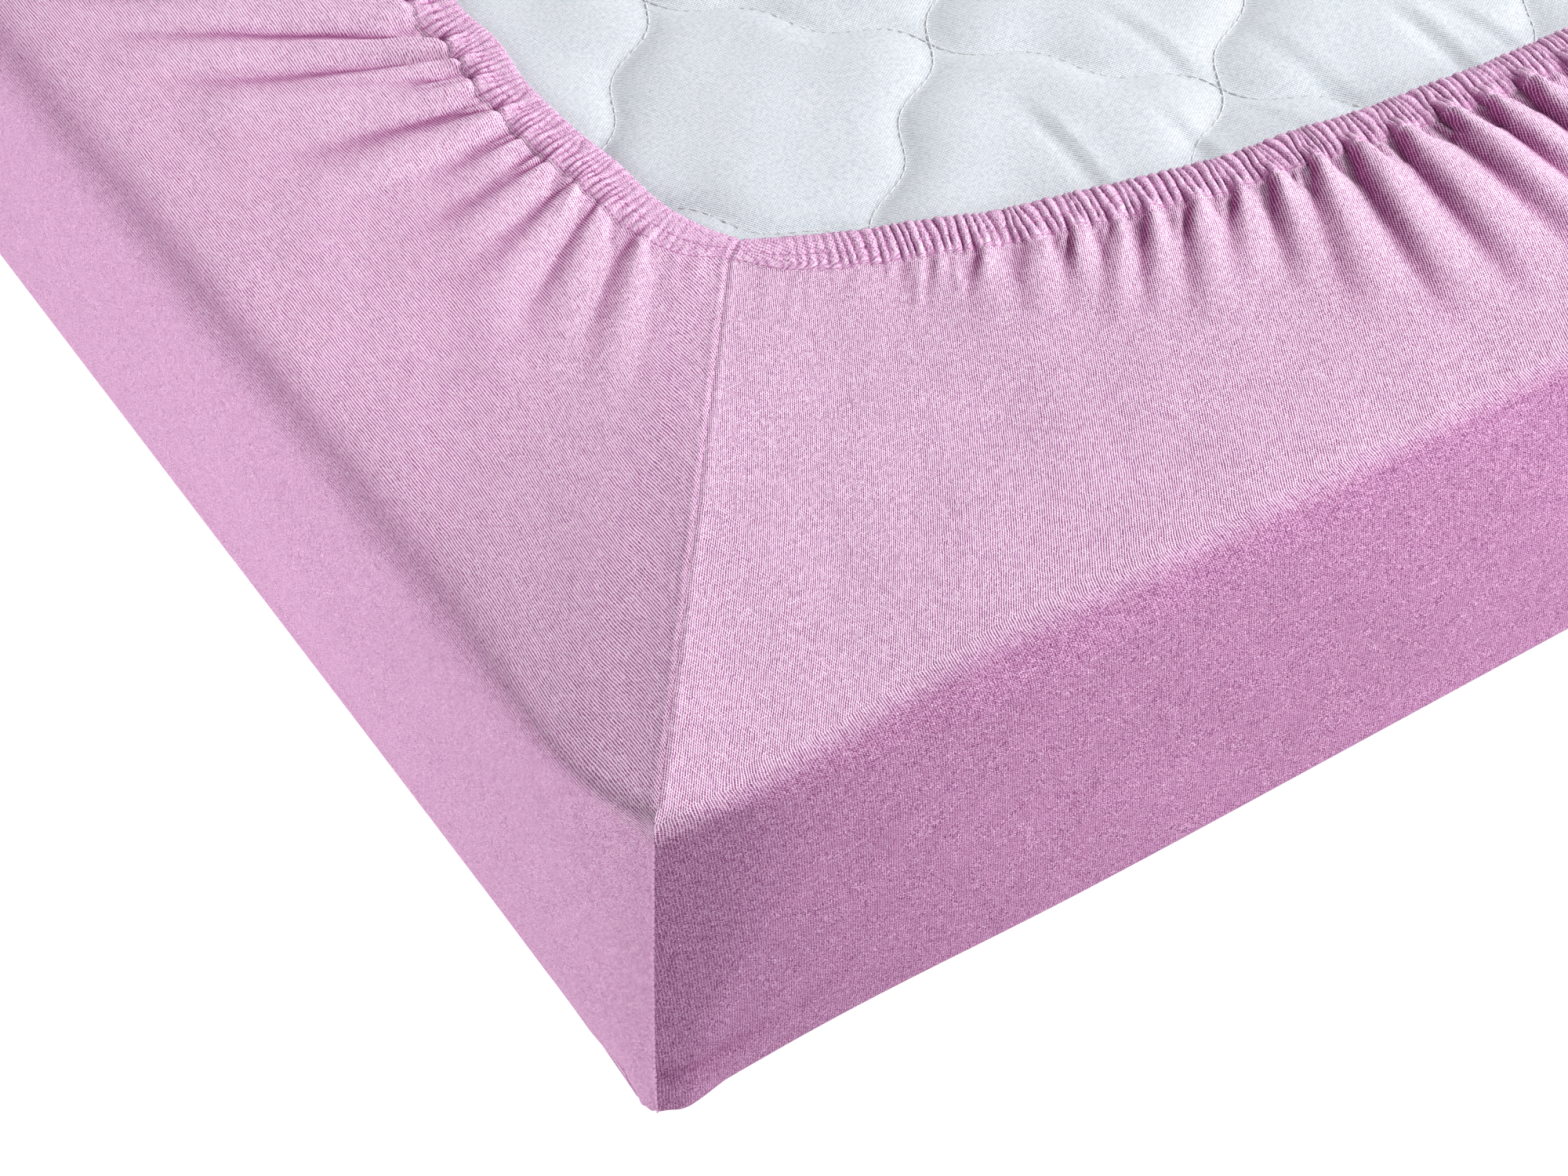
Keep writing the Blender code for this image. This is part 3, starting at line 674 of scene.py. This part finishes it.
def makePanel(side, count, materials):
    length = sides[side][3]
    hem, rim = columnsOf(side, count)
    depth, band = hemLine(side, hem)

    inset, z, turn = wallRows(side, rim)
    radius = sheet["pocketRadius"] + (sheet["rimRadius"] - sheet["pocketRadius"]) * smooth(z / topZ)
    where, inward, facesAlong, facesIn = outline(length, rim, inset, radius)
    wallPoints = place(side, where, inward, z)
    wallFaces = direction(side, facesAlong * np.cos(turn), facesIn * np.cos(turn), np.sin(turn))
    wallCount = len(wallPoints)

    ways = 1 - (1 - np.linspace(0, 1, sheet["returnRows"])[1:, None]) ** 1.7
    endAlong, endIn = hem + band[0], depth + band[1]
    wayLength = np.hypot(endAlong - where[-1], endIn - inward[-1])
    folded = foldHeights(side, hem, ways, wayLength) + creaseHeights(side, hem, ways, wayLength)
    # a fold also pushes the outer stitches a little towards the hem
    pushed = 1 - 0.09 * np.clip(folded[-4] / 0.005, 0, 1) - 0.03 * ripple(sides[side][4] + 600, 0.012, hem)
    endAlong, endIn = hem + band[0] * pushed, depth + band[1] * pushed
    returnAlong = where[-1] + (endAlong - where[-1]) * ways
    returnIn = inward[-1] + (endIn - inward[-1]) * ways

    shares = np.linspace(0, 1, sheet["bandRows"])[1:, None]
    gathers = gatherHeights(side, hem, shares)
    out = band / np.linalg.norm(band, axis=0)
    scallop = 0.22 * (gathers - gathers.mean()) * smooth((shares - 0.6) / 0.4)
    bandAlong = hem + band[0] * pushed * (1 - shares) - out[0] * scallop
    bandIn = depth + band[1] * pushed * (1 - shares) - out[1] * scallop
    bandLift = np.interp(shares, *bandCrown) + gathers + folded[-1] * (1 - smooth(shares / 0.55))

    edge, low, gathered = np.array(hemEdge).T[..., None]
    edgeAlong = bandAlong[-1] - out[0] * edge
    edgeIn = bandIn[-1] - out[1] * edge
    edgeLift = low + gathered * gathers[-1]

    alongs = np.concatenate([where, returnAlong, bandAlong, edgeAlong])
    inwards = np.concatenate([inward, returnIn, bandIn, edgeIn])
    heights = np.concatenate([z, np.full((len(alongs) - wallCount, count + 1), topZ)])
    points = place(side, alongs, inwards, heights)
    up = np.broadcast_to((0.0, 0.0, 1.0), (len(points) - wallCount, count + 1, 3))
    faces = np.concatenate([wallFaces, up])
    lift = np.concatenate([np.zeros(wallPoints.shape[:2]), folded, bandLift, edgeLift])

    # soft unevenness of the wall and the return; the face on the floor stays flat
    x, y, height = points[..., 0], points[..., 1], points[..., 2]
    loose = smooth((height - 0.002) / 0.012)
    loose[-len(shares) - len(edge):] = 0.2
    broad, small = sheet["unevenness"]
    uneven = broad * ripple(21, 0.10, x, y, height) + small * ripple(22, 0.030, x, y, height)
    lift = lift + loose * uneven
    seams, slack = seamLift(points, alongs, length, wallCount)
    moved = points + faces * (lift + seams)[..., None]
    moved[..., 2] = np.maximum(moved[..., 2], 0.0)
    # painted shade in the slack crease above the foot and on the folds' far flanks, away from the light
    paintedFoldShades = np.zeros((len(points), count + 1)) + slack
    level = np.concatenate([folded, bandLift, edgeLift])
    paintedFoldShades[wallCount:] += paintedFlankShade(side, level, hem[-1] - hem[0])

    bandStart = wallCount + len(ways)
    uvs, bandUvs = clothUvs(side, inset, z, inward, alongs, inwards, points, moved, bandStart)
    levels = [sheet["wallLevel"]] * (wallCount - 3) + [2] * (len(ways) - 10) + [1] * 11
    levels += [0] * (len(points) - len(levels))
    mesh = gradedMesh(side + "Panel", moved, uvs, bandUvs, paintedFoldShades, levels, bandStart)
    piece = link(side + "Panel", mesh, materials[0])
    mesh.materials.append(materials[1])
    stitchRows = [bandStart + 1, bandStart - 1 + int(round(sheet["middleStitches"] * len(shares)))]
    return piece, moved, stitchRows


def gradedMesh(name, points, uvs, bandUvs, paintedFoldShades, levels, bandStart):
    # a row keeps every 2**level-th column; neighbours differ by one level at most
    kept, faces, total, bandFaces = [], [], 0, 0
    for row, level in enumerate(levels):
        kept.append(np.arange(0, points.shape[1], 2**level) // 2**level + total)
        total += len(kept[-1])
    for row in range(len(levels) - 1):
        low, high = kept[row], kept[row + 1]
        if row == bandStart:
            bandFaces = len(faces)
        if levels[row] == levels[row + 1]:
            faces += np.stack([low[:-1], low[1:], high[1:], high[:-1]], axis=1).tolist()
        else:
            middle = high[1::2]
            faces += np.stack([low[:-1], middle, high[0:-1:2]], axis=1).tolist()
            faces += np.stack([low[:-1], low[1:], middle], axis=1).tolist()
            faces += np.stack([low[1:], high[2::2], middle], axis=1).tolist()
    # the painted fold shade goes along with the kept columns
    spots, spread, bandSpread, paintedShadeValues = (
        np.concatenate([values[row, ::2**level] for row, level in enumerate(levels)])
        for values in (points, uvs, bandUvs, paintedFoldShades))
    mesh = meshFrom(name, spots, faces, spread, paintedShadeValues)
    onBand = np.arange(len(faces)) >= bandFaces
    mesh.polygons.foreach_set("material_index", onBand.astype(np.int32))
    corners = np.concatenate([np.array(face) for face in faces])
    onBand = np.repeat(onBand, [len(face) for face in faces])
    places = np.where(onBand[:, None], bandSpread[corners], spread[corners])
    mesh.uv_layers["cloth"].data.foreach_set("uv", places.astype(np.float32).ravel())
    return mesh


def makeFloorPanel(borders, material):
    # the face on the floor, bounded by the four side panels' first rows
    ring = np.concatenate([border[0, :-1:2**sheet["wallLevel"]] for border in borders])
    mesh = meshFrom("floorPanel", ring, [list(range(len(ring)))[::-1]], ring[:, :2])
    return link("floorPanel", mesh, material)


# rows of stitches

stitchSizes = {
    "hemStitches": {"pitch": 0.0019, "stitch": 0.0013, "radius": 0.00014, "arch": 0.00022},
    "seamStitches": {"pitch": 0.0024, "stitch": 0.0017, "radius": 0.00030, "arch": 0.0},
    "quiltStitches": {"pitch": 0.0036, "stitch": 0.0028, "radius": 0.00022, "arch": 0.0003},
}


def makeStitchTree(name):
    tree = bpy.data.node_groups.new(name, "GeometryNodeTree")
    face = tree.interface
    face.new_socket("Geometry", in_out="INPUT", socket_type="NodeSocketGeometry")
    for label in ("pitch", "stitch", "radius", "arch"):
        face.new_socket(label, in_out="INPUT", socket_type="NodeSocketFloat")
    face.new_socket("thread", in_out="INPUT", socket_type="NodeSocketMaterial")
    face.new_socket("Geometry", in_out="OUTPUT", socket_type="NodeSocketGeometry")
    given = tree.nodes.new("NodeGroupInput").outputs
    half = calc(tree, "MULTIPLY", given["stitch"], 0.5)
    arch = nodeIn(tree, "GeometryNodeCurveQuadraticBezier", {
        "Resolution": 3, "Start": vector(tree, calc(tree, "MULTIPLY", half, -1.0)),
        "Middle": vector(tree, z=given["arch"]), "End": vector(tree, half)}).outputs[0]
    ring = nodeIn(tree, "GeometryNodeCurvePrimitiveCircle", {"Resolution": 5}).outputs["Curve"]
    sized = nodeIn(tree, "GeometryNodeTransform", {"Geometry": ring})
    tree.links.new(vector(tree, given["radius"], given["radius"], 1.0), sized.inputs["Scale"])
    thread = nodeIn(tree, "GeometryNodeCurveToMesh", {
        "Curve": arch, "Profile Curve": sized.outputs[0], "Fill Caps": True}).outputs[0]
    path = nodeIn(tree, "GeometryNodeMeshToCurve", {"Mesh": given["Geometry"]}).outputs[0]
    spaced = nodeIn(tree, "GeometryNodeResampleCurve", {
        "Curve": path, "Length": given["pitch"]}, mode="LENGTH")
    tangent = tree.nodes.new("GeometryNodeInputTangent").outputs[0]
    along = nodeIn(tree, "FunctionNodeAlignRotationToVector", {"Vector": tangent}, axis="X")
    level = nodeIn(tree, "FunctionNodeAlignRotationToVector", {
        "Rotation": along.outputs[0], "Vector": (0.0, 0.0, 1.0)}, axis="Z", pivot_axis="X")
    placed = nodeIn(tree, "GeometryNodeInstanceOnPoints", {
        "Points": spaced.outputs[0], "Instance": thread, "Rotation": level.outputs[0]})
    real = nodeIn(tree, "GeometryNodeRealizeInstances", {"Geometry": placed.outputs[0]}).outputs[0]
    done = nodeIn(tree, "GeometryNodeSetMaterial", {"Geometry": real, "Material": given["thread"]}).outputs[0]
    tree.links.new(done, tree.nodes.new("NodeGroupOutput").inputs[0])
    return tree


def stitched(name, tree, paths, material):
    # paths are lists of points; each becomes a row of stitches, all in one mesh
    edges, start = [], 0
    for path in paths:
        edges += [(start + index, start + index + 1) for index in range(len(path) - 1)]
        start += len(path)
    mesh = bpy.data.meshes.new(name + "Path")
    mesh.from_pydata(np.concatenate(paths).tolist(), edges, [])
    guide = addObject(name + "Path", mesh)
    nodes = guide.modifiers.new("stitches", "NODES")
    nodes.node_group = tree
    for item in tree.interface.items_tree:
        if item.name in stitchSizes[name]:
            nodes[item.identifier] = stitchSizes[name][item.name]
        if item.name == "thread":
            nodes[item.identifier] = material
    graph = bpy.context.evaluated_depsgraph_get()
    made = bpy.data.meshes.new_from_object(guide.evaluated_get(graph), depsgraph=graph)
    bpy.data.objects.remove(guide, do_unlink=True)
    made.name = name
    made.shade_smooth()
    return addObject(name, made)


# the mattress, with the quilting of its cover

mattress = {
    "edgeRound": 0.018,
    "cornerRadius": 0.062,
    "cell": 0.09235,        # side of a quilted diamond
    "firstP": -0.29307,     # a line of each family: along +X+Y, and along +X-Y
    "firstS": -0.29664,
    "skewP": -0.008,        # the quilting isn't quite square to the mattress
    "skewS": -0.0338,
    "wavePhaseP": 250.2,    # degrees
    "wavePhaseS": 271.8,
    "waveLength": 0.04677,
    "wave": 0.0030,
    "lineDepth": 0.0028,
    "lineFall": 0.0065,     # how fast the cover falls to a line
    "fine": 0.0022,         # grid size inside the hem
    "fineX": 0.478,         # how far from the middle that grid reaches
    "fineY": 0.200,
    "margin": 0.045,        # of the top's grid, inside the mattress's own edge
}

# soft wrinkles of the cover, in tenths of a millimetre: (x, y of the start, degrees from +X,
# length, depth, width)
wrinkles = (
    (-3400, -980, -93, 500, 7, 28), (-2960, -780, -80, 340, 5, 25), (-2860, -1400, -67, 300, 4, 22),
    (-2180, -1280, -89, 440, 8, 30), (-2050, -1380, -80, 400, 6, 22), (-2620, -1100, -84, 520, 4, 35),
    (-1200, -1350, -86, 460, 7, 30), (-620, -1280, -95, 520, 5, 28), (280, -1360, -88, 440, 7, 30),
    (1180, -1260, -97, 500, 6, 28), (2050, -1200, -92, 460, 6, 26), (2900, -1120, -101, 400, 5, 26),
    (-3000, 1180, 84, 440, 6, 28), (-1700, 1320, 92, 460, 7, 28), (-300, 1380, 87, 420, 6, 30),
    (1100, 1320, 95, 480, 7, 28), (2500, 1220, 90, 400, 6, 26), (3950, 300, 8, 500, 6, 28),
    (4000, -500, -6, 440, 5, 26), (-3950, 400, 172, 460, 5, 28), (-3070, -1260, -89, 340, 6, 26),
)
wrinkles = np.array(wrinkles) / (1e4, 1e4, 1, 1e4, 1e4, 1e4)


def lineWave(family, along):
    turn, phase = 2 * math.pi / mattress["waveLength"], math.radians(mattress["wavePhase" + family])
    return mattress["wave"] * np.sin(turn * along + phase)


def lineOffset(family, across, along):
    # signed distance to the nearest stitched line of a family
    off = across - mattress["first" + family] - mattress["skew" + family] * along
    half = mattress["cell"] / 2
    return (off - lineWave(family, along) + half) % mattress["cell"] - half


def coverHeight(x, y):
    p, s = (x - y) / math.sqrt(2), (x + y) / math.sqrt(2)
    offP, offS, fall = lineOffset("P", p, s), lineOffset("S", s, p), mattress["lineFall"]
    dip = 1 - (1 - np.exp(-np.abs(offP) / fall)) * (1 - np.exp(-np.abs(offS) / fall))
    z = mattressHigh[2] - mattress["lineDepth"] * dip - 0.0003
    z = z + 0.0004 * ripple(31, 0.045, x, y)
    for startX, startY, degrees, length, deep, wide in wrinkles:
        run = (math.cos(math.radians(degrees)), math.sin(math.radians(degrees)))
        along = (x - startX) * run[0] + (y - startY) * run[1]
        across = (y - startY) * run[0] - (x - startX) * run[1]
        bent = across - 0.0025 * np.sin(along / length * 2.2)
        fade = smooth(along / (0.5 * length)) * smooth((length * 1.6 - along) / (0.5 * length))
        z = z - 1.5 * deep * fade * (bell(bent / wide) - 0.7 * bell((bent - 1.7 * wide) / wide))
    return z


def spacedOut(reach, fineReach, fine, coarseCount):
    inner = np.linspace(-fineReach, fineReach, int(round(2 * fineReach / fine)) + 1)
    outer = np.linspace(fineReach, reach, coarseCount + 1)[1:]
    return np.concatenate([-outer[::-1], inner, outer])


def makeMattress(material):
    margin = mattress["margin"]
    xs = spacedOut(sideX / 2 - margin, mattress["fineX"], mattress["fine"], 6)
    ys = spacedOut(sideY / 2 - margin, mattress["fineY"], mattress["fine"], 4)
    gridX, gridY = np.meshgrid(xs, ys)
    top = np.stack([gridX, gridY, coverHeight(gridX, gridY)], axis=-1).reshape(-1, 3)
    across, up = len(xs), len(ys)
    index = np.arange(across * up).reshape(up, across)
    corners = (index[:-1, :-1], index[:-1, 1:], index[1:, 1:], index[1:, :-1])
    faces = np.stack(corners, axis=-1).reshape(-1, 4).tolist()

    rounding = mattress["edgeRound"]
    profile = []
    for turn in range(90, -91, -23):
        angle = math.radians(turn)
        centre = mattressHigh[2] - rounding if turn > 0 else mattressLow[2] + rounding
        inset = sheet["wallBulge"] + clothAndGap + rounding * (1 - math.cos(angle))
        profile.append((inset, centre + rounding * math.sin(angle)))
    border = {"front": index[0, :-1], "right": index[:-1, -1],
              "back": index[-1, :0:-1], "left": index[:0:-1, 0]}
    rings, points = [np.concatenate(list(border.values()))], [top]
    total = len(top)
    for inset, z in profile:
        ring = []
        for side, ids in border.items():
            length = sides[side][3]
            spot = top[ids]
            run = sides[side][1]
            own = (spot[:, 0] * run[0] + spot[:, 1] * run[1]) + length / 2
            own = (own - margin) * length / (length - 2 * margin)
            where, inward = outline(length, own, inset, mattress["cornerRadius"])[:2]
            ring.append(place(side, where, inward, z))
        ring = np.concatenate(ring)
        points.append(ring)
        rings.append(np.arange(len(ring)) + total)
        total += len(ring)
    for upper, lower in zip(rings, rings[1:]):
        faces += np.stack([lower, np.roll(lower, -1), np.roll(upper, -1), upper], axis=1).tolist()
    faces.append(rings[-1][::-1].tolist())
    return link("quiltedMattress", meshFrom("quiltedMattress", np.concatenate(points), faces), material)


def insideHem(x, y):
    # true where the cover shows, or lies just under the hem
    inside = np.ones(np.shape(x), dtype=bool)
    for side, (corner, run, turn, length, _) in sides.items():
        along = (x * run[0] + y * run[1]) + length / 2
        inward = (x * turn[0] + y * turn[1]) - (corner[0] * turn[0] * sideX + corner[1] * turn[1] * sideY) / 2
        first, last = hemCorner(side, False), hemCorner(side, True)
        line = np.linspace(first[0], length - last[0], 400)
        depth = hemLine(side, line)[0]
        inside &= inward > np.interp(along, line, depth) - 0.002
    return inside


def quiltPaths():
    t = np.arange(-0.46, 0.46, 0.0012)
    paths = []
    for family in "PS":
        for step in range(-6, 12):
            across = mattress["first" + family] + step * mattress["cell"] + mattress["skew" + family] * t
            across = across + lineWave(family, t)
            p, s = (across, t) if family == "P" else (t, across)
            x, y = (p + s) / math.sqrt(2), (s - p) / math.sqrt(2)
            path = np.stack([x, y, coverHeight(x, y) + 0.0003], axis=-1)[insideHem(x, y)]
            if len(path) > 12:
                paths.append(path)
    return paths


# floor and light

stage = {
    "floorHalf": 9.0,
    "floorZ": -0.0002,
    "floorGlow": 0.92,
    "worldGlow": 0.18,
    # name, place, aim, size, power
    "lamps": (
        ("key", (3.16, -0.82, 2.62), (-0.3, -0.1, 0.1), 0.8, 212.0),
        ("left", (-3.02, -0.10, 1.66), (-0.3, -0.1, 0.1), 1.5, 40.0),
        ("front", (0.35, -1.05, 0.38), (0.15, -0.3, 0.05), 0.4, 8.0),
    ),
}


def makeStage():
    half, z = stage["floorHalf"], stage["floorZ"]
    corners = np.array([(-half, -half, z), (half, -half, z), (half, half, z), (-half, half, z)])
    material = newMaterial("floor", **{
        "Base Color": (0.30, 0.30, 0.30, 1.0), "Roughness": 0.9, "Specular IOR Level": 0.0,
        "Emission Color": (1.0, 1.0, 1.0, 1.0), "Emission Strength": stage["floorGlow"]})[0]
    mesh = meshFrom("floor", corners, [[0, 1, 2, 3]])
    link("floor", mesh, material)
    world = bpy.data.worlds.new("studio")
    bpy.context.scene.world = world
    world.use_nodes = True
    background = world.node_tree.nodes["Background"].inputs
    background["Color"].default_value = (1.0, 1.0, 1.0, 1.0)
    background["Strength"].default_value = stage["worldGlow"]
    for name, spot, aim, size, power in stage["lamps"]:
        data = bpy.data.lights.new(name, "AREA")
        data.size, data.energy = size, power
        lamp = addObject(name, data)
        back = Vector(spot) - Vector(aim)
        lamp.matrix_world = Matrix.Translation(spot) @ back.to_track_quat("Z", "Y").to_matrix().to_4x4()
    bpy.context.scene.view_settings.view_transform = "Standard"


# putting it together

makeCamera()
makeStage()
tickingCloth = makeTicking()
jerseys = {name: (makeJersey(name), makeJersey(name, gathered=True)) for name in jerseyLooks}
pinkThread = makeThread("pinkThread", (0.64, 0.26, 0.53, 1.0))
seamThread = makeThread("seamThread", (0.86, 0.50, 0.76, 1.0))
whiteThread = makeThread("whiteThread", (0.88, 0.89, 0.90, 1.0))
print("camera, floor, light and materials made")

# the seam's rows above the floor, how high its stitches go, and how many columns before a seam
# the hem's stitches end
seamRows, stitchedUpTo, endColumns = slice(9, -52), 0.114, 6
panels, rowsOfPoints, hemPaths, seamPaths = {}, {}, [], []
for side in sides:
    onLong = sides[side][3] > 1.0
    cloth = jerseys["jerseyAcross" if onLong else "jerseyAlong"]
    piece, rows, stitchRows = makePanel(side, sheet["longColumns" if onLong else "shortColumns"], cloth)
    panels[side], rowsOfPoints[side] = piece, rows
    for row in stitchRows:
        path = rows[row, endColumns:-endColumns].copy()
        path[:, 2] = np.convolve(np.pad(path[:, 2], 1, mode="edge"), np.ones(3) / 3, "valid") - 0.00002
        hemPaths.append(path)
    outward = -np.array(sides[side][1] + (0.0,)) - np.array(sides[side][2] + (0.0,))
    seamPath = rows[seamRows, 0] + outward * 0.0003
    seamPaths.append(seamPath[seamPath[:, 2] < stitchedUpTo])
    print(side, "panel made:", len(piece.data.polygons), "faces")
floorPanel = makeFloorPanel([rowsOfPoints[side] for side in sides], jerseys["jerseyAlong"][0])

stitchTree = makeStitchTree("stitchRow")
hemStitches = stitched("hemStitches", stitchTree, hemPaths, pinkThread)
seamStitches = stitched("seamStitches", stitchTree, seamPaths, seamThread)
print("hem stitched:", len(hemStitches.data.polygons), "faces, seams", len(seamStitches.data.polygons))

quilted = makeMattress(tickingCloth)
quiltStitches = stitched("quiltStitches", stitchTree, quiltPaths(), whiteThread)
print("mattress made:", len(quilted.data.polygons), "faces, stitches", len(quiltStitches.data.polygons))

for piece in (*panels.values(), floorPanel, hemStitches, seamStitches):
    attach(piece, "root")
    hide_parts("fitted_sheet")
for piece in (quilted, quiltStitches):
    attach(piece, "root")
    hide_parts("mattress")

print("done")
